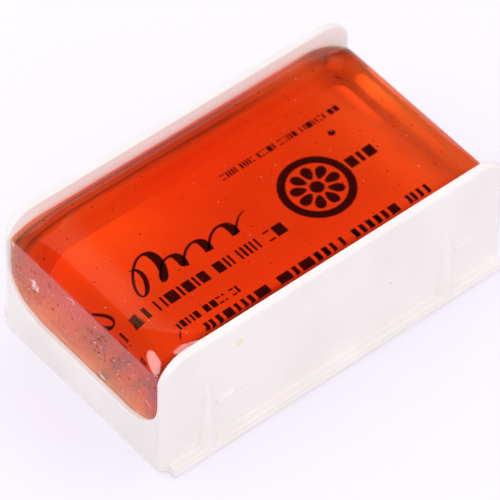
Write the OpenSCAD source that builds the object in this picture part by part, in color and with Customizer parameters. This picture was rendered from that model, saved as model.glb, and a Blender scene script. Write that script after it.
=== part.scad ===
// Rosin cake in its open-ended holder: a translucent block of rosin seated on a
// printed label in a moulded U-channel with two base flanges.
// Origin: centre of the underside. +X along the channel, +Y across it, +Z up.
// Units: millimetres.

/* [Holder] */
// Length of each base flange along X
flange_length = 46; // [44:0.5:60]
// Width over both base flanges
holder_width = 29.4; // [29.4:0.1:36]
// Thickness of each base flange
flange_thickness = 1.3; // [0.9:0.1:1.8]
// Height of the two long walls above the table
wall_height = 17.3; // [16.5:0.1:22]
// Width between the outer faces of the two long walls
shell_width = 27.2; // [26.8:0.1:27.2]
// Thickness of each long wall
wall_thickness = 1; // [0.8:0.1:1.4]
// How far the channel's ends stand out past the flange ends
end_overhang = 0.8; // [0.5:0.1:1.2]
// Radius of the rounded top corners of the long walls
wall_corner_radius = 3.8; // [1:0.1:4.5]
// Chamfer on the outer vertical edges of the channel
edge_chamfer = 0.7; // [0.1:0.1:0.8]
// Height of the channel floor above the table
floor_height = 3.2; // [2.6:0.1:3.6]
// Height of the low lip across each open end
lip_height = 5.1; // [4.2:0.1:5.5]
// Thickness of each end lip along X
lip_thickness = 0.6; // [0.4:0.1:0.6]
// Radius where the end lip turns up into the long walls
lip_corner_radius = 5.5; // [1.5:0.1:5.8]

/* [Underside] */
// Depth of the recess under the floor
recess_depth = 1.9; // [0.5:0.1:2]
// Width of the rim left around the recess
rim_width = 1.6; // [1.2:0.1:3]
// Thickness of the stiffening ribs in the recess
rib_thickness = 1; // [0.6:0.1:1.6]
// Distance between neighbouring cross ribs
rib_pitch = 11; // [8:0.5:14]

/* [Cover catches] */
// Base radius of the tapered half-round guides on the long walls
guide_radius = 1.1; // [0.6:0.05:1.1]
// Height of the top of a guide above the table
guide_top = 11.2; // [8:0.1:13]
// Distance along X from the centre to the outer station
outer_station = 17.85; // [17.65:0.05:18.5]
// Distance along X from the centre to the inner station
inner_station = 15.45; // [14:0.05:15.45]
// Radius of the half-moon catches beside the guides
catch_radius = 1.3; // [0.8:0.1:1.5]
// How far a catch stands out from the wall
catch_depth = 0.3; // [0.2:0.05:0.5]
// Height of the flat top of a catch above the table
catch_height = 7.3; // [6:0.1:9]

/* [Rosin and label] */
// Length of the rosin block at its bottom
rosin_length = 45.4; // [42:0.1:45.4]
// How far the rosin has slid along X from the middle of the channel
rosin_shift = -0.45; // [-0.45:0.05:0.45]
// How far each end of the rosin leans out from its bottom to its arris
rosin_end_lean = 0.15; // [0:0.05:0.6]
// Height of the rosin's top surface above the table
rosin_top = 16.3; // [16:0.1:17]
// Height of the arris where each end face meets the domed top
arris_height = 14.4; // [12.5:0.1:14.8]
// Tilt of the dome's surface from upright where it meets the arris, in degrees
arris_tilt = 30; // [15:1:45]
// Gap between the rosin and the holder on each side
rosin_gap = 0.05; // [0.02:0.01:0.15]
// Radius of the rosin's vertical corners
rosin_corner_radius = 1.4; // [1:0.1:3]
// Radius along the rosin's long top edges
rosin_edge_radius = 1.4; // [0.5:0.1:3]
// Radius along the rosin's long bottom edges
rosin_bottom_radius = 1.2; // [0.5:0.1:2]
// Length of the printed label
label_length = 43; // [30:0.5:44]
// Width of the printed label
label_width = 22.4; // [16:0.1:23]
// Thickness of the printed label
label_thickness = 0.15; // [0.1:0.01:0.3]
// Radius of the label's corners
label_corner_radius = 1.5; // [0.5:0.1:3]

/* [Hidden] */
$fn = 64;
overlap = 0.05;
shell_length = flange_length + 2 * end_overhang;
inner_width = shell_width - 2 * wall_thickness;
rosin_width = inner_width - 2 * rosin_gap;
rosin_base = floor_height + label_thickness;
rosin_height = rosin_top - rosin_base;
flange_edge_chamfer = 0.15;
flange_seam_height = flange_thickness / 2;
channel_corner_radius = 1.2;
guide_tip_radius = 0.15;
catch_taper = 0.3;
recess_length = shell_length - 2 * rim_width;
recess_width = shell_width - 2 * rim_width;
arc_steps = 12;
holder_colour = [0.96, 0.94, 0.93];
rosin_colour = [0.93, 0.27, 0.05, 0.8];
label_colour = [0.95, 0.62, 0.35];

// A flat rectangle, size_x by size_y about its centre, with round corners.
module rounded_plate(size_x, size_y, radius) {
  square([size_x - 2 * radius, size_y], center = true);
  square([size_x, size_y - 2 * radius], center = true);
  for (sx = [-1, 1], sy = [-1, 1])
    translate([sx * (size_x / 2 - radius), sy * (size_y / 2 - radius)])
      circle(r = radius);
}

// Extrudes a flat shape drawn in (Y, Z) along X, about the middle.
module along_x(length) {
  rotate([90, 0, 90]) linear_extrude(height = length, center = true) children();
}

// Extrudes a flat shape drawn in (X, Z) along Y, about the middle.
module along_y(width) {
  rotate([90, 0, 0]) linear_extrude(height = width, center = true) children();
}

// The opening between the walls, in (Y, Z): open upwards, round at the bottom corners.
module opening(bottom, radius) {
  depth = wall_height - bottom + 2 * radius;
  translate([0, bottom + depth / 2]) rounded_plate(inner_width, depth, radius);
}

// Side outline of the walls, in (X, Z), with round top corners.
module wall_outline() {
  tall = 2 * wall_height;
  rounded_plate(shell_length, tall, wall_corner_radius);
}

// Outline from above, with the four outer vertical edges chamfered.
module plan_outline() {
  x = shell_length / 2;
  y = shell_width / 2;
  c = edge_chamfer;
  polygon([[-x, -y + c], [-x + c, -y], [x - c, -y], [x, -y + c],
           [x, y - c], [x - c, y], [-x + c, y], [-x, y - c]]);
}

// The channel: floor, two long walls and a low lip across each end.
module channel() {
  intersection() {
    difference() {
      translate([0, 0, wall_height / 2])
        cube([shell_length, shell_width, wall_height], center = true);
      along_x(shell_length - 2 * lip_thickness)
        opening(floor_height, channel_corner_radius);
      along_x(shell_length + 2) opening(lip_height, lip_corner_radius);
    }
    along_y(shell_width + 2) wall_outline();
    translate([0, 0, -1]) linear_extrude(height = wall_height + 2) plan_outline();
  }
}

// One base flange on the +Y side, with its mould seam along the outer edge.
module flange() {
  inner = shell_width / 2 - overlap;
  outer = holder_width / 2;
  c = flange_edge_chamfer;
  t = flange_thickness;
  along_x(flange_length)
    polygon([[inner, 0], [outer - c, 0], [outer, flange_seam_height],
             [outer - c / 2, flange_seam_height + c], [outer - c / 2, t - c],
             [outer - c, t], [inner, t]]);
}

// A tapered half-round guide on the +Y wall's outer face.
module guide(x) {
  bottom = flange_thickness - overlap;
  half = guide_radius + 1;
  intersection() {
    translate([x, shell_width / 2 - overlap, bottom])
      cylinder(h = guide_top - bottom, r1 = guide_radius, r2 = guide_tip_radius);
    translate([x - half, shell_width / 2 - 2 * overlap, 0])
      cube([2 * half, half, wall_height]);
  }
}

// A half-moon catch on the +Y wall's outer face, flat side up.
module catch(x) {
  intersection() {
    translate([x, shell_width / 2 - overlap, catch_height])
      rotate([-90, 0, 0])
        cylinder(h = catch_depth + overlap, r1 = catch_radius, r2 = catch_radius - catch_taper);
    translate([x - catch_radius - 1, 0, 0])
      cube([2 * catch_radius + 2, shell_width, catch_height]);
  }
}

// Everything that the +Y side carries outside its wall.
module side_fittings() {
  flange();
  guide(outer_station);
  catch(inner_station);
  guide(-inner_station);
  catch(-outer_station);
}

// Recess under the floor, less its stiffening ribs.
module recess() {
  difference() {
    translate([0, 0, recess_depth / 2 - overlap / 2])
      cube([recess_length, recess_width, recess_depth + overlap], center = true);
    cube([recess_length + 2, rib_thickness, 2 * recess_depth + 2], center = true);
    for (i = [-1 : 1])
      translate([i * rib_pitch, 0, 0])
        cube([rib_thickness, recess_width + 2, 2 * recess_depth + 2], center = true);
  }
}

module holder() {
  color(holder_colour)
    difference() {
      union() {
        channel();
        side_fittings();
        rotate([0, 0, 180]) side_fittings();
      }
      recess();
    }
}

// The rosin's side outline, in (X, Z): ends that lean out to an arris, under a dome.
module rosin_side() {
  foot = rosin_length / 2;
  arris = foot + rosin_end_lean;
  radius = (rosin_top - arris_height) / (1 - sin(arris_tilt));
  centre_x = arris - radius * cos(arris_tilt);
  centre_z = rosin_top - radius;
  dome = [for (i = [0 : arc_steps]) let (a = arris_tilt + (90 - arris_tilt) * i / arc_steps)
    [centre_x + radius * cos(a), centre_z + radius * sin(a)]];
  mirrored = [for (i = [arc_steps : -1 : 0]) [-dome[i][0], dome[i][1]]];
  polygon(concat([[foot, rosin_base], [foot, lip_height]], dome, mirrored,
                 [[-foot, lip_height], [-foot, rosin_base]]));
}

// The rosin's cross-section, in (Y, Z): round along the top and bottom edges.
module rosin_section() {
  middle = (rosin_top + rosin_base) / 2;
  translate([0, middle + rosin_height / 4])
    rounded_plate(rosin_width, rosin_height / 2, rosin_edge_radius);
  translate([0, middle - rosin_height / 4])
    rounded_plate(rosin_width, rosin_height / 2, rosin_bottom_radius);
  translate([0, middle])
    square([rosin_width, rosin_height / 2], center = true);
}

module rosin() {
  color(rosin_colour)
    translate([rosin_shift, 0, 0])
      intersection() {
        along_y(rosin_width) rosin_side();
        along_x(rosin_length + 2) rosin_section();
        linear_extrude(height = rosin_top + 1)
          rounded_plate(rosin_length + 2 * rosin_end_lean, rosin_width, rosin_corner_radius);
      }
}

module label() {
  color(label_colour)
    translate([0, 0, floor_height])
      linear_extrude(height = label_thickness)
        rounded_plate(label_length, label_width, label_corner_radius);
}

holder();
rosin();
label();
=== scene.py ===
import math
import random

import bmesh
import bpy
from mathutils import Matrix, Vector


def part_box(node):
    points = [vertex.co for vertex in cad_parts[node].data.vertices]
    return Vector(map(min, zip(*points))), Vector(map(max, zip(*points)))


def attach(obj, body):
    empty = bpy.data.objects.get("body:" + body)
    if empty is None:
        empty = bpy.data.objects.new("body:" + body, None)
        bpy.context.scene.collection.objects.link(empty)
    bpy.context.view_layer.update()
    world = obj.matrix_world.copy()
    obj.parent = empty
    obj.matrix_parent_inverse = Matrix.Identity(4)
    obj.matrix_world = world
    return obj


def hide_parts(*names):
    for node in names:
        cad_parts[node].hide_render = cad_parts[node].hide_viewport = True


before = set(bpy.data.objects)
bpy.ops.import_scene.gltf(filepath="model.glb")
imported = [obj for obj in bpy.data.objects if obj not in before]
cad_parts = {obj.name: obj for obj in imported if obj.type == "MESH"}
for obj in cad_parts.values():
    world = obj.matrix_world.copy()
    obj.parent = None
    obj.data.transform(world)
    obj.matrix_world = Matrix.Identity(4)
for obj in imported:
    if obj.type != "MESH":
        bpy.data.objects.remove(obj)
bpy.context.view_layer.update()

# All lengths below are millimetres, in the frame's axes; MM turns them into metres.
MM = 0.001

# ---------------------------------------------------------------------------
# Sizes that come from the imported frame
# ---------------------------------------------------------------------------
holder_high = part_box("holder")[1] / MM
rosin_low, rosin_high = [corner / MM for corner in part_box("rosin")]
label_low, label_high = [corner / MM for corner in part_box("label")]

HALF_LENGTH = holder_high.x
HALF_WIDTH = holder_high.y
WALL_TOP = holder_high.z
FLOOR = label_low.z
PRINT_LEVEL = label_high.z
ROSIN_TOP = rosin_high.z

# ---------------------------------------------------------------------------
# Driving sizes of the holder
# ---------------------------------------------------------------------------
# Long walls, with round upper corners and chamfered, softened ends.
WALL_THICKNESS = 1.0
WALL_GAP = 0.05
WALL_INNER = rosin_high.y + WALL_GAP
WALL_OUTER = WALL_INNER + WALL_THICKNESS
WALL_CORNER = 3.8
EDGE_CHAMFER = 0.7
CHAMFER_SOFTNESS = 0.16
OUTER_EDGE = 0.34
INNER_EDGE = 0.16
END_EDGE = 0.14
# Base flanges, which stop short of the ends and carry the mould seam on their edge.
END_OVERHANG = 0.8
FLANGE_THICKNESS = 1.3
FLANGE_ROOT = 0.3
FLANGE_SEAM = 0.09
FLANGE_EDGE = 0.2
FLANGE_SINK = 0.13
UNDER_EDGE = 0.12
# Channel and end lips: the lips' inner corners are far rounder than the channel's.
LIP_TOP = 5.1
LIP_THICKNESS = 0.6
LIP_CORNER = 5.5
CHANNEL_CORNER = 1.2
# Recess and ribs under the floor.
RECESS_TOP = 1.9
RIM_WIDTH = 1.6
RIB_THICKNESS = 1.0
RIB_DRAFT = 0.1
RIB_PITCH = 11.0
# The lengthwise rib stops this much short of the others, so that no two faces coincide.
RIB_STEP = 0.01
# Guides and catches, which swap stations between one end and the other.
OUTER_STATION = 17.85
INNER_STATION = 15.45
GUIDE_RADIUS = 1.1
GUIDE_TIP = 0.15
GUIDE_TOP = 11.2
GUIDE_SINK = 0.05
CATCH_RADIUS = 1.3
CATCH_DEPTH = 0.3
CATCH_HEIGHT = 7.3
CATCH_FLATNESS = 0.9
CATCH_LAYERS = ((-0.1, 0.0), (CATCH_DEPTH * 0.7, 0.12), (CATCH_DEPTH, 0.30))
# How far a part runs into the one it joins.
OVERLAP = 0.1

# ---------------------------------------------------------------------------
# Driving sizes of the rosin
# ---------------------------------------------------------------------------
# The crease between a cast end and the free surface, and how far the surface rounds in from it.
CREASE_HEIGHT = 14.4
CREASE_TILT = 62.0
CREASE_ROUND = 0.12
END_RUN = 3.3
END_CURVE_STEPS = 26
# Where the free surface meets the long walls, and how far it rounds in from each.
SIDE_CONTACT = 15.1
LEFT_RUN = 2.3
RIGHT_RUN = 1.2
SIDE_STEPS, END_STEPS, TURN_STEPS = 26, 14, 9
# Plan radii of the +X, (-X, +Y) and (-X, -Y) corners: (at the foot, growth to the top, power).
CORNERS = ((2.2, 3.0, 1.0), (0.35, 5.0, 1.15), (1.1, 5.0, 0.8))
# The foot: its lean, its lower edge, and how far it sinks into the walls and the label.
END_LEAN = 0.15
FOOT_EDGE = 0.3
FAR_FOOT_EDGE = 0.04
BOND = 0.02
# The near end swells a little, and the top is slightly crowned.
END_BULGE = 0.12
CROWN_RISE = 0.05
CROWN_INSETS = (0.4, 0.9, 1.5, 2.2, 3.0, 4.0, 5.5, 7.5)
CROWN_REACH = 2.0


# ---------------------------------------------------------------------------
# Mesh helpers
# ---------------------------------------------------------------------------
def arc(radius, start, end, steps):
    """Points of an arc about the origin, with the angles in degrees."""
    angles = [math.radians(start + (end - start) * i / steps) for i in range(steps + 1)]
    return [(radius * math.cos(a), radius * math.sin(a)) for a in angles]


def loft(mesh, rings, closed_ends=True):
    """Skins closed rings that hold equally many points, and closes both ends."""
    rows = [[mesh.verts.new(Vector(p) * MM) for p in ring] for ring in rings]
    for near, far in zip(rows, rows[1:]):
        for i in range(len(near)):
            j = (i + 1) % len(near)
            mesh.faces.new((near[i], near[j], far[j], far[i]))
    if closed_ends:
        mesh.faces.new(rows[0][::-1])
        mesh.faces.new(rows[-1])
    return rows


def shrunk(outline, amount):
    """A flat outline drawn in towards its middle by amount along each axis."""
    middle = [(min(c) + max(c)) / 2 for c in zip(*outline)]
    half = [(max(c) - min(c)) / 2 for c in zip(*outline)]
    scale = [(h - amount) / h for h in half]
    return [tuple(m + (v - m) * s for v, m, s in zip(p, middle, scale)) for p in outline]


def soft_prism(mesh, outline, start, end, place, soft):
    """Extrudes an outline from start to end with softened ends; place maps (u, v, w)."""
    sign = 1 if end > start else -1
    steps = [(start, soft), (start + sign * soft * 0.3, soft * 0.3), (start + sign * soft, 0)]
    steps += [(end - sign * soft, 0), (end - sign * soft * 0.3, soft * 0.3), (end, soft)]
    loft(mesh, [[place(u, v, w) for u, v in shrunk(outline, inset)] for w, inset in steps])


def half_turn(point, turned):
    """The point turned by half a turn about the upright axis, if turned is true."""
    x, y, z = point
    return (-x, -y, z) if turned else (x, y, z)


def make_piece(name, mesh, material, sharp=35.0, replaced=()):
    """Turns a bmesh into a named piece that rides on the root body."""
    bmesh.ops.remove_doubles(mesh, verts=mesh.verts, dist=1e-4 * MM)
    bmesh.ops.recalc_face_normals(mesh, faces=mesh.faces)
    data = bpy.data.meshes.new(name)
    mesh.to_mesh(data)
    mesh.free()
    data.shade_smooth()
    data.set_sharp_from_angle(angle=math.radians(sharp))
    data.materials.append(material)
    piece = bpy.data.objects.new(name, data)
    bpy.context.scene.collection.objects.link(piece)
    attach(piece, "root")
    if replaced:
        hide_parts(*replaced)
    return piece


# ---------------------------------------------------------------------------
# Node helpers
# ---------------------------------------------------------------------------
class Graph:
    """A short way to write a node tree."""

    def __init__(self, tree):
        self.tree = tree
        tree.nodes.clear()

    def add(self, kind, inputs=None, **settings):
        """Adds a node; inputs maps a socket's name or number to a value or an output."""
        made = self.tree.nodes.new("ShaderNode" + kind)
        for key, value in settings.items():
            setattr(made, key, value)
        for key, value in (inputs or {}).items():
            if isinstance(value, bpy.types.NodeSocket):
                self.tree.links.new(value, made.inputs[key])
            else:
                made.inputs[key].default_value = value
        return made

    def math(self, operation, first, second=0.0, third=0.0):
        """One step of arithmetic on numbers or outputs."""
        return self.add("Math", {0: first, 1: second, 2: third}, operation=operation).outputs[0]

    def vector(self, operation, first, second):
        """One vector step with a vector result."""
        return self.add("VectorMath", {0: first, 1: second}, operation=operation).outputs[0]

    def dot(self, first, second):
        """Dot product of two vectors."""
        step = self.add("VectorMath", {0: first, 1: second}, operation="DOT_PRODUCT")
        return step.outputs["Value"]

    def ramp(self, value, low, high, start=0.0, end=1.0, shape="SMOOTHSTEP"):
        """Maps low..high onto start..end, smooth at both ends unless shape says otherwise."""
        inputs = {"Value": value, "From Min": low, "From Max": high}
        inputs.update({"To Min": start, "To Max": end})
        return self.add("MapRange", inputs, interpolation_type=shape).outputs[0]

    def mix(self, factor, first, second, blend="MIX"):
        """Mixes two colours."""
        step = self.add("Mix", data_type="RGBA", blend_type=blend)
        for socket, value in ((step.inputs[0], factor), (step.inputs[6], first),
                              (step.inputs[7], second)):
            if isinstance(value, bpy.types.NodeSocket):
                self.tree.links.new(value, socket)
            else:
                socket.default_value = value
        return step.outputs[2]

    def noise(self, place, scale, detail=2.0, roughness=0.5):
        """Noise between 0 and 1, with scale in bumps per millimetre."""
        inputs = {"Vector": place, "Scale": scale / MM, "Detail": detail}
        inputs["Roughness"] = roughness
        return self.add("TexNoise", inputs).outputs["Fac"]

    def place(self):
        """Object coordinates, in metres."""
        return self.add("TexCoord").outputs["Object"]

    def mix_shader(self, factor, first, second):
        """Mixes two shaders."""
        return self.add("MixShader", {0: factor, 1: first, 2: second}).outputs[0]

    def spot(self, place, centre, radius, soft=0.5):
        """1 within radius of a point, falling to 0 over the soft share outside it."""
        offset = self.vector("SUBTRACT", place, Vector(centre) * MM)
        length = self.add("VectorMath", {0: offset}, operation="LENGTH").outputs["Value"]
        return self.ramp(length, radius * (1 + soft) * MM, radius * (1 - soft) * MM)

    def bump(self, height, strength, distance, normal=None):
        """A bump whose depth is given in millimetres."""
        inputs = {"Height": height, "Strength": strength, "Distance": distance * MM}
        if normal is not None:
            inputs["Normal"] = normal
        return self.add("Bump", inputs).outputs[0]


def new_material(name):
    """A node material and its graph."""
    material = bpy.data.materials.new(name)
    material.use_nodes = True
    return material, Graph(material.node_tree)


def colour(red, green, blue):
    """A linear colour as the node sockets want it."""
    return (red, green, blue, 1.0)


# ---------------------------------------------------------------------------
# Materials
# ---------------------------------------------------------------------------
# Small marks on the near wall: (place, radius, tint).
STAINS = (
    ((-13.47, -WALL_OUTER, 14.3), 0.42, colour(0.80, 0.74, 0.36)),
    ((7.6, -WALL_OUTER, 8.1), 0.13, colour(0.45, 0.47, 0.62)),
    ((-13.2, -WALL_OUTER, 6.5), 0.12, colour(0.42, 0.42, 0.46)),
)


def holder_material():
    """Satin off-white moulding with faint flow mottling and a few small marks."""
    material, graph = new_material("holder_plastic")
    place = graph.place()
    flow = graph.noise(place, 0.12, 3.0)
    grain = graph.noise(place, 9.0, 2.0)
    speckle = graph.noise(place, 2.4, 1.0)
    base = graph.mix(graph.ramp(flow, 0.35, 0.65), colour(0.88, 0.835, 0.80),
                     colour(0.91, 0.87, 0.84))
    base = graph.mix(graph.ramp(speckle, 0.70, 0.82, 0.0, 0.25), base, colour(0.74, 0.70, 0.69))
    ripple = graph.add("TexNoise", {"Vector": place, "Scale": 3.0 / MM}).outputs["Color"]
    wander = graph.vector("SUBTRACT", ripple, Vector((0.5, 0.5, 0.5)))
    shifted = graph.add("VectorMath", {0: wander, 1: Vector((1, 1, 1)) * 0.7 * MM, 2: place},
                        operation="MULTIPLY_ADD").outputs[0]
    for centre, radius, tint in STAINS:
        mask = graph.math("MULTIPLY", graph.spot(shifted, centre, radius), 0.6)
        base = graph.mix(mask, base, tint)
    rough = graph.ramp(flow, 0.2, 0.8, 0.34, 0.48)
    bump = graph.bump(grain, 0.25, 0.012)
    bump = graph.bump(flow, 0.5, 0.10, bump)
    shader = graph.add("BsdfPrincipled", {
        "Base Color": base, "Roughness": rough, "Normal": bump, "IOR": 1.5,
        "Specular IOR Level": 0.45}).outputs[0]
    graph.add("OutputMaterial", {"Surface": shader})
    return material


# What a metre of amber absorbs, and the tint light takes each time it crosses the surface.
ABSORPTION = 160.0
ABSORBED = colour(0.988, 0.47, 0.03)
AMBER_TINT = colour(1.0, 0.52, 0.24)
AMBER_IOR = 1.53
# How much of the light that other pieces send to the block it scatters back.
SHEEN_SHARE = 0.42
# The free surface at the far end: where a fold of painted shade begins and ends, and where painted
# warm light comes in.
FAR_FOLD_SHADE = (14.5, 17.0, 18.0, 20.0)
FAR_PAINTED_LIGHT = (18.0, 20.5)
# Centre of a painted shadow in the far corner.
FAR_SHADE_CORNER = (20.0, 11.4, ROSIN_TOP - 1.2)
# A patch of painted light on the free surface, and the place where a crust sticks to the near end.
PAINTED_LIGHT_PATCH = (-15.0, 5.0, ROSIN_TOP)
CRUST_PATCH = (rosin_low.x, 8.4, 10.6)
# Painted shade on the clear surface, darkening it from the flat top out to a long wall: (distance,
# tint).
SIDE_SHADE_TINTS = (
    (9.3, colour(1.0, 0.52, 0.24)),
    (10.2, colour(0.14, 0.05, 0.04)),
    (10.5, colour(0.50, 0.22, 0.15)),
    (11.2, colour(0.38, 0.15, 0.10)),
    (11.6, colour(0.10, 0.04, 0.03)),
    (12.2, colour(0.85, 0.48, 0.24)),
)


def painted_side_shade(graph, place, across):
    """Painted shade of the clear surface, in streaky dark bands where it rounds down to the long
    walls.
    """
    stretched = graph.vector("MULTIPLY", place, Vector((0.08, 1.0, 0.3)))
    wander = graph.math("SUBTRACT", graph.noise(stretched, 0.9, 3.0), 0.5)
    distance = graph.math("MULTIPLY_ADD", wander, 0.9 * MM, across)
    first, last = SIDE_SHADE_TINTS[0][0] * MM, SIDE_SHADE_TINTS[-1][0] * MM
    share = graph.ramp(distance, first, last, shape="LINEAR")
    band = graph.add("ValToRGB", {0: share})
    points = band.color_ramp.elements
    while len(points) < len(SIDE_SHADE_TINTS):
        points.new(0.5)
    for point, (reach, tint) in zip(points, SIDE_SHADE_TINTS):
        point.position = (reach * MM - first) / (last - first)
        point.color = tint
    return band.outputs[0]


def rare_dots(graph, flat_place, scale, radius, share):
    """1 inside small dots that only some cells of a flat scattered pattern hold."""
    cells = graph.add("TexVoronoi", {"Vector": flat_place, "Scale": scale / MM},
                      voronoi_dimensions="2D")
    pick = graph.add("SeparateColor", {0: cells.outputs["Color"]}).outputs
    chosen = graph.ramp(pick[0], 1 - share, 1 - share + 0.01)
    reach = graph.math("MULTIPLY_ADD", pick[1], radius * scale, radius * scale * 0.4)
    inside = graph.ramp(graph.math("DIVIDE", cells.outputs["Distance"], reach), 1.0, 0.6)
    return graph.math("MULTIPLY", chosen, inside)


def plain_shader(graph, tint, roughness=0.6, normal=None, shine=0.2):
    """A matt opaque layer."""
    inputs = {"Base Color": tint, "Roughness": roughness, "Specular IOR Level": shine}
    if normal is not None:
        inputs["Normal"] = normal
    return graph.add("BsdfPrincipled", inputs).outputs[0]


def amber_glass(graph, tint, roughness, normal):
    """Refracting amber surface."""
    return graph.add("BsdfPrincipled", {
        "Base Color": tint, "Roughness": roughness, "IOR": AMBER_IOR,
        "Transmission Weight": 1.0, "Normal": normal}).outputs[0]


def cast_film_and_painted_light(graph, place, y, z, normal):
    """The dull film on a cast end: mauve above, tan below where the white lip's reflected light is
    painted in, and greyer at the corners with painted shade.
    """
    cloud = graph.noise(place, 0.30, 3.0)
    # Tan low down is painted light from the white lip below; mauve higher up.
    height = graph.ramp(z, LIP_TOP * MM, CREASE_HEIGHT * MM, shape="LINEAR")
    tone = graph.mix(height, colour(0.68, 0.33, 0.15), colour(0.52, 0.20, 0.20))
    tone = graph.mix(graph.ramp(cloud, 0.40, 0.65, 0.0, 0.7), tone, colour(0.50, 0.22, 0.18))
    # Painted shade where the end rounds into its corners.
    corner = graph.math("MULTIPLY", graph.ramp(y, 9.2 * MM, 11.0 * MM),
                        graph.ramp(z, 8.5 * MM, 9.5 * MM))
    corner = graph.math("MAXIMUM", corner, graph.ramp(y, -9.5 * MM, -11.5 * MM))
    tone = graph.mix(graph.math("MULTIPLY", corner, 0.85), tone, colour(0.31, 0.19, 0.21))
    streaks = graph.vector("MULTIPLY", place, Vector((1.0, 0.35, 1.6)))
    smudge = graph.ramp(graph.noise(streaks, 0.55, 3.0), 0.60, 0.72, 0.0, 0.55)
    tone = graph.mix(smudge, tone, colour(0.34, 0.29, 0.33))
    return plain_shader(graph, tone, 0.45, normal)


def cast_face(graph, place, y, z):
    """A cast end: a thin film over rough amber, with pits, painted highlights on the pits' rims,
    pale flecks and a hair or two.
    """
    fine = graph.noise(place, 2.2, 4.0, 0.55)
    normal = graph.bump(fine, 0.30, 0.05)
    film = cast_film_and_painted_light(graph, place, y, z, normal)
    dull = amber_glass(graph, AMBER_TINT, 0.2, normal)
    layer = graph.mix_shader(graph.ramp(fine, 0.35, 0.65, 0.46, 0.56), dull, film)
    flat_place = graph.add("CombineXYZ", {0: y, 1: z}).outputs[0]
    band = graph.math("MULTIPLY", graph.ramp(z, 6.0 * MM, 10.0 * MM),
                      graph.ramp(z, 14.2 * MM, 13.0 * MM))
    crowd = graph.math("MULTIPLY", band, graph.ramp(graph.noise(place, 0.35, 2.0), 0.44, 0.56,
                                                    0.08, 1.0))
    fleck_and_highlight = plain_shader(graph, colour(0.92, 0.82, 0.80), 0.5)
    # Painted highlights on the upper rims of the pits: the pit pattern, shifted.
    shifted = graph.vector("ADD", flat_place, Vector((0.10, 0.13, 0.0)) * MM)
    rim = graph.math("MULTIPLY", rare_dots(graph, shifted, 1.25, 0.15, 0.20), crowd)
    dust = rare_dots(graph, flat_place, 1.1, 0.08, 0.12)
    crust = graph.math("MULTIPLY", graph.spot(place, CRUST_PATCH, 0.7, 0.6),
                       graph.ramp(graph.noise(place, 1.8, 2.0), 0.48, 0.56))
    hair_path = graph.math("SUBTRACT", graph.noise(flat_place, 0.33, 1.0), 0.5)
    hair = graph.ramp(graph.math("ABSOLUTE", hair_path), 0.012, 0.005)
    hair_area = graph.ramp(graph.noise(flat_place, 0.4, 0.0), 0.66, 0.70, 0.0, 0.7)
    flecks_and_highlights = graph.math("MAXIMUM", graph.math("MAXIMUM", rim, dust),
                      graph.math("MULTIPLY", hair, hair_area))
    flecks_and_highlights = graph.math("MAXIMUM", flecks_and_highlights, crust)
    layer = graph.mix_shader(graph.math("MULTIPLY", flecks_and_highlights, 0.8), layer, fleck_and_highlight)
    red = graph.math("MULTIPLY", rare_dots(graph, flat_place, 1.25, 0.20, 0.75), crowd)
    pit = plain_shader(graph, colour(0.34, 0.03, 0.015), 0.5, None, 0.0)
    return graph.mix_shader(graph.math("MULTIPLY", red, 0.85), layer, pit)


def cast_inside(graph, place):
    """A cast end seen from inside the block, where it mostly mirrors the label."""
    dents = graph.noise(place, 0.25, 2.0)
    return amber_glass(graph, AMBER_TINT, 0.16, graph.bump(dents, 0.5, 0.25))


def painted_far_end_light(graph, place, x, y, tint):
    """Painted light and shade at the far end: a warm patch of painted light, a fold of painted
    shade before it, a painted shadow in the corner.
    """
    drift = graph.math("MULTIPLY_ADD", graph.math("SUBTRACT", graph.noise(place, 0.2), 0.5),
                       3.0 * MM, x)
    start, deep, shallow, end = [reach * MM for reach in FAR_FOLD_SHADE]
    # A fold of painted shade across the top before the far end.
    painted_fold_shade = graph.math("MULTIPLY", graph.ramp(drift, start, deep),
                      graph.ramp(drift, end, shallow))
    tint = graph.mix(graph.math("MULTIPLY", painted_fold_shade, 0.6), tint, colour(0.55, 0.40, 0.5), "MULTIPLY")
    # Painted warm light towards the far end, weaker on the near side.
    painted_warm_light = graph.math("MULTIPLY", graph.ramp(drift, FAR_PAINTED_LIGHT[0] * MM, FAR_PAINTED_LIGHT[1] * MM),
                      graph.ramp(y, -9.0 * MM, 5.0 * MM, 0.15, 1.0))
    tint = graph.mix(graph.math("MULTIPLY", painted_warm_light, 0.8), tint, colour(1.35, 2.3, 1.3), "MULTIPLY")
    # Painted shadow in the far corner by the wall.
    corner = graph.spot(place, FAR_SHADE_CORNER, 3.2, 0.5)
    return graph.mix(graph.math("MULTIPLY", corner, 0.9), tint, colour(0.16, 0.12, 0.18),
                     "MULTIPLY")


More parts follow.
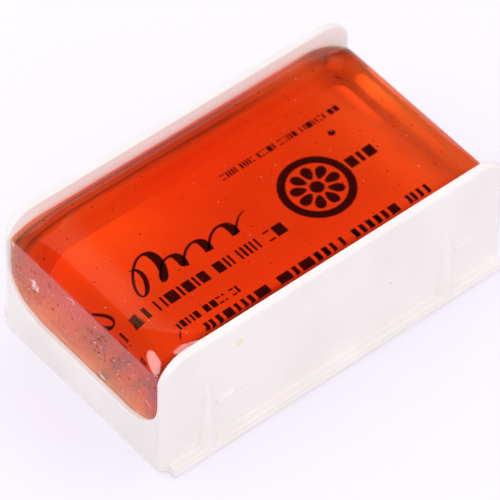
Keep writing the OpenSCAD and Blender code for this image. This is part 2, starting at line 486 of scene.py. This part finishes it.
def free_surface(graph, place, x, y, z):
    """The glossy top, with painted shade at the long walls and above the near end's crease,
    painted light patches, grit under it and lint on it.
    """
    outwards = graph.math("MAXIMUM", y, graph.math("SUBTRACT", -1.7 * MM, y))
    above = graph.ramp(z, (LIP_TOP + 1.0) * MM, (LIP_TOP + 2.0) * MM)
    skin = graph.bump(graph.noise(place, 0.10, 1.0), 0.35, 0.25)
    # Painted shade towards the long walls, weaker towards the far end.
    strength = graph.math("MULTIPLY", above, graph.ramp(x, 3.0 * MM, 14.0 * MM, 1.0, 0.45))
    tint = graph.mix(strength, AMBER_TINT, painted_side_shade(graph, place, outwards))
    # A patch of painted light on the top, towards the far left.
    bright = graph.spot(place, PAINTED_LIGHT_PATCH, 5.0, 0.9)
    tint = graph.mix(graph.math("MULTIPLY", bright, 0.7), tint, colour(1.9, 1.75, 1.3), "MULTIPLY")
    # Painted shade on the rounding just above the near end's crease.
    painted_fold_shade = graph.ramp(x, -20.8 * MM, -22.2 * MM)
    tint = graph.mix(graph.math("MULTIPLY", painted_fold_shade, 0.3), tint, colour(0.1, 0.2, 0.2), "MULTIPLY")
    tint = painted_far_end_light(graph, place, x, y, tint)
    clear = amber_glass(graph, tint, 0.02, skin)
    grit = rare_dots(graph, place, 0.62, 0.11, 0.30)
    clear = graph.mix_shader(graph.math("MULTIPLY", grit, 0.75), clear,
                             plain_shader(graph, colour(0.14, 0.015, 0.005), 1.0, None, 0.0))
    lint = rare_dots(graph, place, 0.5, 0.06, 0.20)
    return graph.mix_shader(graph.math("MULTIPLY", lint, 0.45), clear,
                            plain_shader(graph, colour(0.95, 0.75, 0.65)))


def rosin_material():
    """Clear amber with a glossy free surface and dull, pitted cast ends."""
    material, graph = new_material("rosin_amber")
    place = graph.place()
    x, y, z = graph.add("SeparateXYZ", {0: place}).outputs[:3]
    wobble = graph.math("SUBTRACT", graph.noise(place, 0.9, 3.0), 0.5)
    level = graph.math("MULTIPLY_ADD", wobble, 0.12 * MM, z)
    below = graph.ramp(level, (CREASE_HEIGHT + 0.02) * MM, (CREASE_HEIGHT - 0.10) * MM)
    from_middle = graph.math("ABSOLUTE", x)
    at_end = graph.ramp(from_middle, (rosin_high.x - 2.0) * MM, (rosin_high.x - 1.6) * MM)
    cast_mask = graph.math("MULTIPLY", below, at_end)
    inside = graph.add("NewGeometry").outputs["Backfacing"]
    cast = graph.mix_shader(inside, cast_face(graph, place, y, z), cast_inside(graph, place))
    solid = graph.mix_shader(cast_mask, free_surface(graph, place, x, y, z), cast)

    path = graph.add("LightPath")
    through = graph.add("BsdfTransparent").outputs[0]
    sheen = graph.add("BsdfDiffuse", {"Color": colour(0.95, 0.93, 0.93)}).outputs[0]
    entering = graph.mix_shader(SHEEN_SHARE, through, sheen)
    crusted = graph.add("BsdfDiffuse", {"Color": colour(0.62, 0.45, 0.38)}).outputs[0]
    entering = graph.mix_shader(cast_mask, entering, crusted)
    soft_side = graph.mix_shader(inside, entering, through)
    bounced = graph.mix_shader(path.outputs["Is Diffuse Ray"], solid, soft_side)
    surface = graph.mix_shader(path.outputs["Is Shadow Ray"], bounced, through)
    volume = graph.add("VolumeAbsorption", {"Color": ABSORBED, "Density": ABSORPTION}).outputs[0]
    graph.add("OutputMaterial", {"Surface": surface, "Volume": volume})
    return material


def label_material():
    """Pale printed film with a faint paper tooth, painted lighter where more light reaches it, and
    with patches of painted light that the block gathers.
    """
    material, graph = new_material("label_film")
    place = graph.place()
    tooth = graph.noise(place, 6.0, 3.0)
    cloud = graph.noise(place, 0.2, 2.0)
    base = graph.mix(graph.ramp(cloud, 0.3, 0.7), colour(0.84, 0.82, 0.80),
                     colour(0.78, 0.74, 0.72))
    x, y = graph.add("SeparateXYZ", {0: place}).outputs[:2]
    # Painted light: the film is lighter towards the far left, the far end and the near side, where
    # more light reaches it.
    far_corner = graph.math("SUBTRACT", y, graph.math("MULTIPLY", x, 0.35))
    painted_light_share = graph.ramp(far_corner, 2.0 * MM, 12.0 * MM)
    painted_light_share = graph.math("MAXIMUM", painted_light_share, graph.ramp(x, 13.0 * MM, 21.0 * MM))
    painted_light_share = graph.math("MAXIMUM", painted_light_share, graph.ramp(y, -2.0 * MM, -9.0 * MM))
    base = graph.mix(painted_light_share, base, colour(0.97, 0.95, 0.93))
    # Painted light on the label, standing for light that the block gathers: a patch to the far
    # left, and one at the far end.
    painted_gathered_light = graph.math("MULTIPLY", graph.ramp(x, -3.0 * MM, -12.0 * MM),
                          graph.ramp(y, 5.0 * MM, 11.0 * MM))
    base = graph.mix(graph.math("MULTIPLY", painted_gathered_light, 0.5), base, colour(1.3, 1.5, 1.4))
    painted_gathered_light = graph.math("MULTIPLY", graph.ramp(x, 20.0 * MM, 21.6 * MM),
                          graph.ramp(y, 2.0 * MM, 10.0 * MM))
    base = graph.mix(painted_gathered_light, base, colour(1.9, 1.6, 1.3))
    base = graph.mix(graph.ramp(tooth, 0.6, 0.75, 0.0, 0.4), base, colour(0.70, 0.64, 0.60))
    shader = graph.add("BsdfPrincipled", {
        "Base Color": base, "Roughness": graph.ramp(tooth, 0.3, 0.7, 0.45, 0.6),
        "Specular IOR Level": 0.0,
        "Normal": graph.bump(tooth, 0.2, 0.01)}).outputs[0]
    graph.add("OutputMaterial", {"Surface": shader})
    return material


def ink_material():
    """Flat dark printing ink, a little uneven in its cover."""
    material, graph = new_material("label_ink")
    place = graph.place()
    cover = graph.noise(place, 5.0, 3.0)
    base = graph.mix(graph.ramp(cover, 0.35, 0.75), colour(0.035, 0.025, 0.025),
                     colour(0.06, 0.04, 0.035))
    shader = graph.add("BsdfPrincipled", {
        "Base Color": base, "Roughness": graph.ramp(cover, 0.3, 0.7, 0.5, 0.7),
        "Specular IOR Level": 0.0}).outputs[0]
    graph.add("OutputMaterial", {"Surface": shader})
    return material


# ---------------------------------------------------------------------------
# Holder
# ---------------------------------------------------------------------------
def chamfer_depth(x):
    """How far the soft chamfer takes the outer wall face in at distance x from the middle."""
    into = x - (HALF_LENGTH - EDGE_CHAMFER)
    return (into + math.sqrt(into * into + CHAMFER_SOFTNESS ** 2)) / 2


def end_growth(x, radius):
    """How far a rounding at the end plane opens an edge that meets it."""
    into = max(0.0, x - (HALF_LENGTH - radius))
    return radius - math.sqrt(max(0.0, radius * radius - into * into))


def channel_ring(x, ceiling, bottom, corner):
    """Section of the channel at distance x from its middle, starting at the +Y wall's top."""
    turn = min(1.0, max(0.0, x - (HALF_LENGTH - WALL_CORNER)) / WALL_CORNER)
    upright = math.sqrt(1 - turn * turn)
    top = WALL_TOP - WALL_CORNER * (1 - upright)
    growth = end_growth(x, END_EDGE)
    outer = WALL_OUTER - chamfer_depth(x)
    inner = WALL_INNER + growth
    shrink = 0.08 + 0.92 * upright
    inner_edge = INNER_EDGE * shrink
    outer_edge = OUTER_EDGE * shrink
    half = []
    for c, s in arc(1.0, 0, 90, 4):
        drop = inner_edge * (1 - s)
        half.append((x - turn * drop, inner + inner_edge * (1 - c), top - upright * drop))
    for c, s in arc(1.0, 90, 0, 6):
        drop = outer_edge * (1 - s)
        half.append((x - turn * drop, outer - outer_edge * (1 - c), top - upright * drop))
    rim = WALL_OUTER - RIM_WIDTH
    half += [(x, outer, FLANGE_THICKNESS), (x, outer, UNDER_EDGE), (x, outer - UNDER_EDGE, 0)]
    half += [(x, rim, 0), (x, rim, ceiling)]
    base = bottom - growth
    corner = corner + growth
    inside = [(x, inner - corner + c, base + corner + s) for c, s in arc(corner, -90, 0, 12)]
    inside.append((x, inner, (base + corner + top) / 2))
    outside_mirrored = [(px, -py, pz) for px, py, pz in reversed(half)]
    inside_mirrored = [(px, -py, pz) for px, py, pz in reversed(inside)]
    return half + outside_mirrored + inside_mirrored + inside


def channel_stations():
    """(distance, ceiling, bottom, corner) of each section from the middle to the +X end."""
    arc_start = HALF_LENGTH - WALL_CORNER
    lip_inside = HALF_LENGTH - LIP_THICKNESS
    recess_end = HALF_LENGTH - RIM_WIDTH
    distances = {0.0, 7.0, 14.0, arc_start}
    distances |= {arc_start + WALL_CORNER * s for c, s in arc(1.0, 0, 90, 18)}
    distances |= {HALF_LENGTH - EDGE_CHAMFER * (1.3 - 1.3 * i / 8) for i in range(8)}
    distances |= {HALF_LENGTH - END_EDGE * (1 - s) for c, s in arc(1.0, 0, 90, 5)}
    distances |= {recess_end, lip_inside}
    rows = []
    for x in sorted(distances):
        ceiling = RECESS_TOP if x <= recess_end else 0.0
        lip = x > lip_inside
        rows.append((x, ceiling, LIP_TOP if lip else FLOOR, LIP_CORNER if lip else CHANNEL_CORNER))
        if x == recess_end:
            rows.append((x, 0.0, FLOOR, CHANNEL_CORNER))
        if x == lip_inside:
            rows.append((x, 0.0, LIP_TOP, LIP_CORNER))
    return rows


def add_channel(mesh):
    """Floor, long walls and end lips as one skin."""
    ahead = [channel_ring(*row) for row in channel_stations()]
    behind = [[(-x, y, z) for x, y, z in ring] for ring in reversed(ahead[1:])]
    loft(mesh, behind + ahead)


def add_ribs(mesh):
    """Stiffening ribs that cross the recess under the floor."""
    edge, root = RIB_THICKNESS / 2, RIB_THICKNESS / 2 + RIB_DRAFT
    top = RECESS_TOP + OVERLAP
    rib = [(-edge, 0.0), (edge, 0.0), (root, top), (-root, top)]
    reach_x = HALF_LENGTH - RIM_WIDTH + OVERLAP
    reach_y = WALL_OUTER - RIM_WIDTH + OVERLAP
    for x in (-RIB_PITCH, 0.0, RIB_PITCH):
        loft(mesh, [[(x + u, y, v) for u, v in rib] for y in (-reach_y, reach_y)])
    loft(mesh, [[(x, u, v + RIB_STEP) for u, v in rib] for x in (-reach_x, reach_x)])


def add_flange(mesh, turned):
    """A base flange with a filleted root and the mould seam along its edge."""
    inside = WALL_OUTER - FLANGE_SINK
    thick = FLANGE_THICKNESS
    edge = FLANGE_EDGE
    root = [(WALL_OUTER + FLANGE_ROOT - FLANGE_ROOT * c, thick + FLANGE_ROOT - FLANGE_ROOT * s)
            for c, s in arc(1.0, 0, 90, 4)]
    top_edge = [(HALF_WIDTH - FLANGE_SEAM - edge * (1 - s), thick - edge * (1 - c))
                for c, s in arc(1.0, 0, 90, 4)]
    seam = [(HALF_WIDTH - FLANGE_SEAM, thick * 0.56), (HALF_WIDTH, thick * 0.48)]
    low_edge = [(HALF_WIDTH, UNDER_EDGE), (HALF_WIDTH - UNDER_EDGE, 0.0)]
    outline = [(inside, thick + FLANGE_ROOT)] + root + top_edge + seam + low_edge + [(inside, 0.0)]
    reach = HALF_LENGTH - END_OVERHANG
    soft_prism(mesh, outline, -reach, reach, lambda u, v, w: half_turn((w, u, v), turned), 0.14)


def add_guide(mesh, x, turned):
    """A tapered half-round guide outside a long wall."""
    bottom = FLANGE_THICKNESS - OVERLAP
    rings = []
    for i in range(13):
        share = i / 12
        radius = GUIDE_TIP + (GUIDE_RADIUS - GUIDE_TIP) * (1 - share) ** 0.85
        z = bottom + (GUIDE_TOP - bottom) * share
        ring = [(x + c, WALL_OUTER - GUIDE_SINK + s, z) for c, s in arc(radius, -15, 195, 18)]
        rings.append([half_turn(p, turned) for p in ring])
    loft(mesh, rings)


def add_catch(mesh, x, turned):
    """A half-moon catch outside a long wall, flat side up."""
    rings = []
    for depth, inset in CATCH_LAYERS:
        moon = [(c, s) for c, s in arc(CATCH_RADIUS - inset, 180, 360, 20)]
        ring = [(x + c, WALL_OUTER + depth, CATCH_HEIGHT - inset * 0.3 + s * CATCH_FLATNESS)
                for c, s in moon]
        rings.append([half_turn(p, turned) for p in ring])
    loft(mesh, rings)


def build_holder(material):
    """The moulded holder: channel, ribs, flanges, guides and catches."""
    mesh = bmesh.new()
    add_channel(mesh)
    add_ribs(mesh)
    for turned in (False, True):
        add_flange(mesh, turned)
        add_guide(mesh, OUTER_STATION, turned)
        add_guide(mesh, -INNER_STATION, turned)
        add_catch(mesh, INNER_STATION, turned)
        add_catch(mesh, -OUTER_STATION, turned)
    piece = make_piece("holder_moulding", mesh, material, 32.0, ("holder",))
    weighted = piece.modifiers.new("even_shading", "WEIGHTED_NORMAL")
    weighted.keep_sharp = True
    return piece


# ---------------------------------------------------------------------------
# Rosin
# ---------------------------------------------------------------------------
def turning_path(last_tilt, steps, power):
    """Unit steps whose tilt grows from level to last_tilt, faster with a higher power."""
    points = [(0.0, 0.0)]
    for i in range(steps):
        tilt = math.radians(last_tilt * ((i + 0.5) / steps) ** power)
        points.append((points[-1][0] + math.cos(tilt), points[-1][1] + math.sin(tilt)))
    return points


def edge_profile(run, drop, last_tilt, steps):
    """(run, drop) points from a flat top down to a crease, turning faster towards it."""
    paths = [turning_path(last_tilt, steps, 1.0 + i * 0.02) for i in range(200)]
    points = min(paths, key=lambda path: abs(path[-1][1] / path[-1][0] - drop / run))
    return [(u * run / points[-1][0], v * drop / points[-1][1]) for u, v in points]


def rounded_loop(low_x, high_x, low_y, high_y, radii, z):
    """A level anticlockwise loop; radii are those of the +X, (-X, +Y) and (-X, -Y) corners."""
    loop = []
    far, left, right = radii
    corners = ((high_x - far, high_y - far, 0, far), (low_x + left, high_y - left, 90, left),
               (low_x + right, low_y + right, 180, right), (high_x - far, low_y + far, 270, far))
    for index, (cx, cy, start, radius) in enumerate(corners):
        turn = [(cx + c, cy + s, z) for c, s in arc(radius, start, start + 90, TURN_STEPS)]
        loop += turn
        next_cx, next_cy, next_start, next_radius = corners[(index + 1) % 4]
        after = math.radians(next_start)
        target = (next_cx + next_radius * math.cos(after),
                  next_cy + next_radius * math.sin(after))
        steps = SIDE_STEPS if index % 2 == 0 else END_STEPS
        for i in range(1, steps):
            share = i / steps
            loop.append((turn[-1][0] + (target[0] - turn[-1][0]) * share,
                         turn[-1][1] + (target[1] - turn[-1][1]) * share, z))
    return loop


def build_rosin(material):
    """The cast block: upright dull ends, a soft crease and a crowned, glossy free surface."""
    side = WALL_INNER + BOND
    foot_low, foot_high = rosin_low.x + END_LEAN, rosin_high.x - END_LEAN
    bottom = FLOOR - BOND
    end_drop = ROSIN_TOP - CREASE_HEIGHT
    end_curve = edge_profile(END_RUN, end_drop, CREASE_TILT, END_CURVE_STEPS)
    rise = (SIDE_CONTACT - CREASE_HEIGHT) / end_drop
    foot = [radius for radius, growth, power in CORNERS]
    middle = (LIP_TOP + CREASE_HEIGHT) / 2
    low, high = rosin_low.x, rosin_high.x
    rings = [
        (foot_low + FOOT_EDGE, foot_high - FAR_FOOT_EDGE, FOOT_EDGE - side, side - FOOT_EDGE,
         foot, bottom),
        (foot_low, foot_high, -side, side, foot, bottom + FOOT_EDGE),
        (foot_low, foot_high, -side, side, foot, LIP_TOP),
        (low - END_BULGE * 0.7, high, -side, side, foot, LIP_TOP + 1.2),
        (low - END_BULGE, high, -side, side, foot, middle),
        (low, high, -side, side, foot, CREASE_HEIGHT - CREASE_ROUND),
    ]
    for run, drop in reversed(end_curve):
        inward = END_RUN - run
        share = 1 - drop / end_drop
        lift = max(0.0, (share - rise) / (1 - rise))
        side_in = 1 - math.sqrt(1 - min(1.0, lift) ** 2)
        low_y, high_y = RIGHT_RUN * side_in - side, side - LEFT_RUN * side_in
        radii = [radius + growth * share ** power for radius, growth, power in CORNERS]
        rings.append((low + inward, high - inward, low_y, high_y, radii, ROSIN_TOP - drop))
    low, high, low_y, high_y, crown_radii, level = rings[-1]
    for inset in CROWN_INSETS:
        crown = CROWN_RISE * (1 - math.exp(-inset / CROWN_REACH))
        radii = [max(radius - inset, 0.8) for radius in crown_radii]
        rings.append((low + inset, high - inset, low_y + inset, high_y - inset, radii,
                      level + crown))
    mesh = bmesh.new()
    loft(mesh, [rounded_loop(*ring) for ring in rings])
    return make_piece("rosin_block", mesh, material, 38.0, ("rosin",))


# ---------------------------------------------------------------------------
# Printed label
# ---------------------------------------------------------------------------
INK_THICKNESS = 0.02
INK_SINK = 0.01


def add_ink(mesh, outline):
    """A thin printed patch with the given outline."""
    loft(mesh, [[(x, y, level) for x, y in outline]
                for level in (PRINT_LEVEL - INK_SINK, PRINT_LEVEL + INK_THICKNESS)])


def bar(x, y, width, height):
    """Outline of an upright bar whose lower left corner is at (x, y)."""
    return [(x, y), (x + width, y), (x + width, y + height), (x, y + height)]


def add_row(mesh, draw, start, end, y, height, words, bold, kinds):
    """A line of plain blocks: strokes, double bars across, double strokes and full blocks."""
    x = start
    gap = height * 0.22
    stroke = height * bold
    flat = stroke * 0.8
    count = 0
    while x < end:
        width = height * draw.choice((0.35, 0.6, 0.75, 0.9))
        if x + width > end:
            break
        kind = draw.choice(kinds)
        if kind == 0:
            width = min(width, stroke * 1.2)
            add_ink(mesh, bar(x, y, width, height))
        elif kind == 1:
            add_ink(mesh, bar(x, y, width, flat))
            add_ink(mesh, bar(x, y + height - flat, width, flat))
        elif kind == 2:
            add_ink(mesh, bar(x, y, stroke, height))
            add_ink(mesh, bar(x + width - stroke, y, stroke, height))
        else:
            add_ink(mesh, bar(x, y, width, height))
        x += width + gap
        count += 1
        if count % words == 0:
            x += height * 0.5


ALL_KINDS = (0, 1, 2, 3)
UPRIGHT_KINDS = (0, 2, 2, 3)
# Rows of small print: (start, end, y, height, blocks in a word, stroke share, kinds of block).
PRINT_ROWS = (
    (2.3, 19.0, 8.1, 0.8, 5, 0.22, ALL_KINDS),
    (-20.6, 3.4, -1.75, 1.5, 6, 0.17, ALL_KINDS),
    (-14.4, -5.8, -5.0, 0.95, 4, 0.26, ALL_KINDS),
    (-12.1, 20.5, -7.75, 1.9, 6, 0.24, UPRIGHT_KINDS),
)
# Loose bars beside the medallion: (x, width).
LOOSE_BARS = ((14.3, 1.2), (15.9, 0.5), (16.8, 1.3))
LOOSE_BAR_LEVEL, LOOSE_BAR_HEIGHT = 0.7, 1.5
PRINT_SEED = 7


def build_rows(material):
    """The label's small print as rows of plain blocks."""
    draw = random.Random(PRINT_SEED)
    mesh = bmesh.new()
    for row in PRINT_ROWS:
        add_row(mesh, draw, *row)
    for x, width in LOOSE_BARS:
        add_ink(mesh, bar(x, LOOSE_BAR_LEVEL, width, LOOSE_BAR_HEIGHT))
    return make_piece("label_rows", mesh, material, 30.0)


MEDAL_CENTRE = (9.6, 1.04)
MEDAL_RADIUS = 4.4
MEDAL_PETALS = 9
MEDAL_RIM_INNER = MEDAL_RADIUS * 0.78
MEDAL_HUB = MEDAL_RADIUS * 0.19
PETAL_MIDDLE, PETAL_REACH = MEDAL_RADIUS * 0.48, MEDAL_RADIUS * 0.22
PETAL_SPREAD = 0.40
DOT_CENTRE = (15.9, 6.0)
DOT_RADIUS = 0.42


def disc(centre, radius):
    """Outline of a small disc."""
    return [(centre[0] + x, centre[1] + y) for x, y in arc(radius, 0, 345, 23)]


def sector(centre, inner, outer, start, end, steps=10):
    """Outline of a piece of a ring between two angles in degrees."""
    outline = arc(outer, start, end, steps) + arc(inner, end, start, steps)
    return [(centre[0] + x, centre[1] + y) for x, y in outline]


def build_medallion(material):
    """A dark round seal: a rim, a ring of petals and a hub."""
    mesh = bmesh.new()
    turn = 360.0 / MEDAL_PETALS
    for i in range(MEDAL_PETALS):
        start = i * turn
        add_ink(mesh, sector(MEDAL_CENTRE, MEDAL_RIM_INNER, MEDAL_RADIUS, start, start + turn))
        petal = []
        for a in range(0, 360, 20):
            reach = PETAL_MIDDLE + PETAL_REACH * math.cos(math.radians(a))
            swing = math.radians(start + turn * PETAL_SPREAD * math.sin(math.radians(a)))
            petal.append((MEDAL_CENTRE[0] + reach * math.cos(swing),
                          MEDAL_CENTRE[1] + reach * math.sin(swing)))
        add_ink(mesh, petal)
    add_ink(mesh, disc(MEDAL_CENTRE, MEDAL_HUB))
    add_ink(mesh, disc(DOT_CENTRE, DOT_RADIUS))
    return make_piece("label_medallion", mesh, material, 30.0)


SWASH_START, SWASH_END = -14.6, 0.9
SWASH_LEVEL = 2.4
SWASH_TURNS = 5
SWASH_LEAN = 0.45
SWASH_LOOP = 0.55
# The first loop's extra height, where along the flourish it peaks, and how wide the peak is.
SWASH_TALL, SWASH_PEAK, SWASH_SPREAD = 1.45, 0.10, 0.12
SWASH_THIN, SWASH_THICK = 0.15, 0.40
SWASH_TURN_STEPS = 36


def swash_point(share):
    """A point of the flourish: leaning loops, the first one tall and the rest low."""
    share = max(0.0, share)
    angle = 2 * math.pi * SWASH_TURNS * share ** 0.8
    tall = 1.0 + SWASH_TALL * math.exp(-((share - SWASH_PEAK) / SWASH_SPREAD) ** 2)
    x = SWASH_START + (SWASH_END - SWASH_START) * share + SWASH_LOOP * tall * math.sin(angle)
    y = SWASH_LEVEL + (tall - 0.95) * SWASH_LOOP + tall * math.cos(angle)
    return (x + SWASH_LEAN * (y - SWASH_LEVEL), y)


def build_swash(material):
    """A ribbon of loops with thick downstrokes and thin upstrokes."""
    mesh = bmesh.new()
    base, top = PRINT_LEVEL - INK_SINK, PRINT_LEVEL + INK_THICKNESS
    count = SWASH_TURNS * SWASH_TURN_STEPS
    step = 0.2 / count
    rings = []
    for i in range(count + 1):
        share = i / count
        x, y = swash_point(share)
        near, far = swash_point(share - step), swash_point(share + step)
        length = math.hypot(far[0] - near[0], far[1] - near[1])
        out_x, out_y = (near[1] - far[1]) / length, (far[0] - near[0]) / length
        down = max(0.0, (near[1] - far[1]) / length)
        taper = min(1.0, 12 * share, 12 * (1 - share))
        half = (SWASH_THIN + SWASH_THICK * down ** 2) * (0.3 + 0.7 * taper)
        rings.append([(x - out_x * half, y - out_y * half, base),
                      (x + out_x * half, y + out_y * half, base),
                      (x + out_x * half, y + out_y * half, top),
                      (x - out_x * half, y - out_y * half, top)])
    loft(mesh, rings)
    return make_piece("label_flourish", mesh, material, 30.0)


def build_label(material):
    """The film keeps its CAD solid and takes the printed film's material."""
    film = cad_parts["label"]
    film.data.materials.clear()
    film.data.materials.append(material)
    return film


# ---------------------------------------------------------------------------
# Stage, light and camera
# ---------------------------------------------------------------------------
CAMERA_AZIMUTH = -40.69
CAMERA_ELEVATION = 49.347
CAMERA_ROLL = 1.2
CAMERA_DISTANCE = 540.3
CAMERA_LENS = 357.75
AIM_RIGHT, AIM_UP = -0.407, 4.428
FOCUS_POINT = (-14.0, -6.0, 14.0)
FOCAL_RATIO = 52.0


FLOOR_REACH = 3000.0
# The floor lies a hair below the object, so that no two faces coincide.
FLOOR_DROP = 0.02


def build_floor():
    """A wide pale sweep; it is clear from below, and lights the underside that it hides."""
    material, graph = new_material("floor_sweep")
    place = graph.place()
    tone = graph.noise(place, 0.01, 1.0)
    base = graph.mix(tone, colour(0.88, 0.875, 0.93), colour(0.89, 0.885, 0.935))
    path = graph.add("LightPath").outputs
    base = graph.mix(path["Is Glossy Ray"], base, colour(0.35, 0.34, 0.35))
    shader = graph.add("BsdfPrincipled", {
        "Base Color": base, "Roughness": 0.9, "Specular IOR Level": 0.0}).outputs[0]
    x, y = graph.add("SeparateXYZ", {0: place}).outputs[:2]
    hidden = 0.0
    for reach_x, reach_y in ((HALF_LENGTH, WALL_OUTER), (HALF_LENGTH - END_OVERHANG, HALF_WIDTH)):
        inside_x = graph.math("LESS_THAN", graph.math("ABSOLUTE", x), (reach_x - 0.1) * MM)
        inside_y = graph.math("LESS_THAN", graph.math("ABSOLUTE", y), (reach_y - 0.1) * MM)
        hidden = graph.math("MAXIMUM", graph.math("MULTIPLY", inside_x, inside_y), hidden)
    hidden = graph.math("MULTIPLY", hidden, path["Is Diffuse Ray"])
    glow = graph.add("Emission", {"Color": colour(1.0, 1.0, 1.0), "Strength": 0.7}).outputs[0]
    shader = graph.mix_shader(hidden, shader, glow)
    below = graph.add("NewGeometry").outputs["Backfacing"]
    shader = graph.mix_shader(below, shader, graph.add("BsdfTransparent").outputs[0])
    graph.add("OutputMaterial", {"Surface": shader})
    material.cycles.emission_sampling = "NONE"
    mesh = bmesh.new()
    corners = ((-1, -1), (1, -1), (1, 1), (-1, 1))
    mesh.faces.new([mesh.verts.new(Vector((u * FLOOR_REACH, v * FLOOR_REACH, -FLOOR_DROP)) * MM)
                    for u, v in corners])
    data = bpy.data.meshes.new("floor_sweep")
    mesh.to_mesh(data)
    mesh.free()
    data.materials.append(material)
    floor = bpy.data.objects.new("floor_sweep", data)
    bpy.context.scene.collection.objects.link(floor)


# Panels only reflections see: (direction, half width, half height, brightness, tint).
PANELS = (
    ((0.088, 0.553, 0.818), 0.31, 0.16, 0.70, (1.0, 0.78, 0.50)),
    ((-0.73, 0.12, 0.67), 0.22, 0.51, 7.5, (1.0, 0.97, 0.97)),
    ((0.42, 0.78, 0.46), 0.30, 0.12, 0.40, (1.0, 0.95, 0.95)),
    ((0.20, -0.40, 0.90), 0.16, 0.50, 6.0, (1.0, 0.95, 0.95)),
)


def panel_mask(graph, direction, towards, half_width, half_height, soft=0.06):
    """1 where a direction meets a rounded panel that faces the object."""
    axis = Vector(towards).normalized()
    side = axis.cross(Vector((0, 0, 1))).normalized()
    rise = side.cross(axis).normalized()
    ahead = graph.dot(direction, axis)
    reach = graph.math("MAXIMUM", ahead, 0.001)
    across = graph.math("DIVIDE", graph.dot(direction, side), reach)
    along = graph.math("DIVIDE", graph.dot(direction, rise), reach)
    across = graph.math("POWER", graph.math("ABSOLUTE", graph.math(
        "DIVIDE", across, half_width)), 5.0)
    along = graph.math("POWER", graph.math("ABSOLUTE", graph.math(
        "DIVIDE", along, half_height)), 5.0)
    edge = graph.math("ADD", across, along)
    inside = graph.ramp(edge, 1 + soft * 5, 1 - soft * 5)
    return graph.math("MULTIPLY", inside, graph.ramp(ahead, 0.0, 0.01))


def build_light():
    """Even light from all round, with a dim room and bright panels in reflections."""
    world = bpy.data.worlds.new("studio")
    bpy.context.scene.world = world
    world.use_nodes = True
    graph = Graph(world.node_tree)
    direction = graph.add("TexCoord").outputs["Generated"]
    rise = graph.add("SeparateXYZ", {0: direction}).outputs[2]
    room = graph.mix(graph.ramp(rise, -0.2, 0.8), colour(0.13, 0.125, 0.13),
                     colour(0.03, 0.03, 0.03))
    for towards, half_width, half_height, bright, tint in PANELS:
        mask = panel_mask(graph, direction, towards, half_width, half_height)
        room = graph.mix(mask, room, colour(*(bright * share for share in tint)))
    ambient = graph.mix(graph.ramp(rise, -0.1, 1.0), colour(1.06, 1.05, 1.10),
                        colour(1.17, 1.14, 1.17))
    path = graph.add("LightPath")
    seen = graph.mix(path.outputs["Is Glossy Ray"], ambient, room)
    backdrop = graph.add("Background", {"Color": seen, "Strength": 1.0}).outputs[0]
    graph.add("OutputWorld", {"Surface": backdrop})


def build_camera():
    """A long lens at the viewing angle, with a slight roll and a shallow focus."""
    azimuth = math.radians(CAMERA_AZIMUTH)
    elevation = math.radians(CAMERA_ELEVATION)
    back = Vector((math.sin(azimuth) * math.cos(elevation),
                   -math.cos(azimuth) * math.cos(elevation), math.sin(elevation)))
    right = Vector((math.cos(azimuth), math.sin(azimuth), 0.0))
    up = back.cross(right)
    roll = math.radians(CAMERA_ROLL)
    turned_right = right * math.cos(roll) + up * math.sin(roll)
    turned_up = up * math.cos(roll) - right * math.sin(roll)
    aim = turned_right * AIM_RIGHT + turned_up * AIM_UP
    camera = bpy.data.objects.new("camera", bpy.data.cameras.new("camera"))
    bpy.context.scene.collection.objects.link(camera)
    turn = Matrix((turned_right, turned_up, back)).transposed()
    camera.matrix_world = Matrix.Translation((aim + back * CAMERA_DISTANCE) * MM) @ turn.to_4x4()
    camera.data.lens = CAMERA_LENS
    camera.data.sensor_width = 36.0
    camera.data.clip_start, camera.data.clip_end = 0.05, 20.0
    focus = bpy.data.objects.new("focus_point", None)
    bpy.context.scene.collection.objects.link(focus)
    focus.location = Vector(FOCUS_POINT) * MM
    camera.data.dof.use_dof = True
    camera.data.dof.focus_object = focus
    camera.data.dof.aperture_fstop = FOCAL_RATIO
    bpy.context.scene.camera = camera


def set_rendering():
    """View transform and bounces; the sampling is left to the renderer."""
    scene = bpy.context.scene
    scene.view_settings.view_transform = "Standard"
    scene.view_settings.look = "None"
    scene.cycles.max_bounces = 16
    scene.cycles.diffuse_bounces = 5
    scene.cycles.glossy_bounces = 8
    scene.cycles.transmission_bounces = 12
    scene.cycles.transparent_max_bounces = 16
    scene.cycles.caustics_reflective = False
    scene.cycles.caustics_refractive = False
    scene.cycles.use_denoising = True


plastic = holder_material()
build_holder(plastic)
build_rosin(rosin_material())
build_label(label_material())
ink = ink_material()
build_rows(ink)
build_medallion(ink)
build_swash(ink)
build_floor()
build_light()
build_camera()
set_rendering()
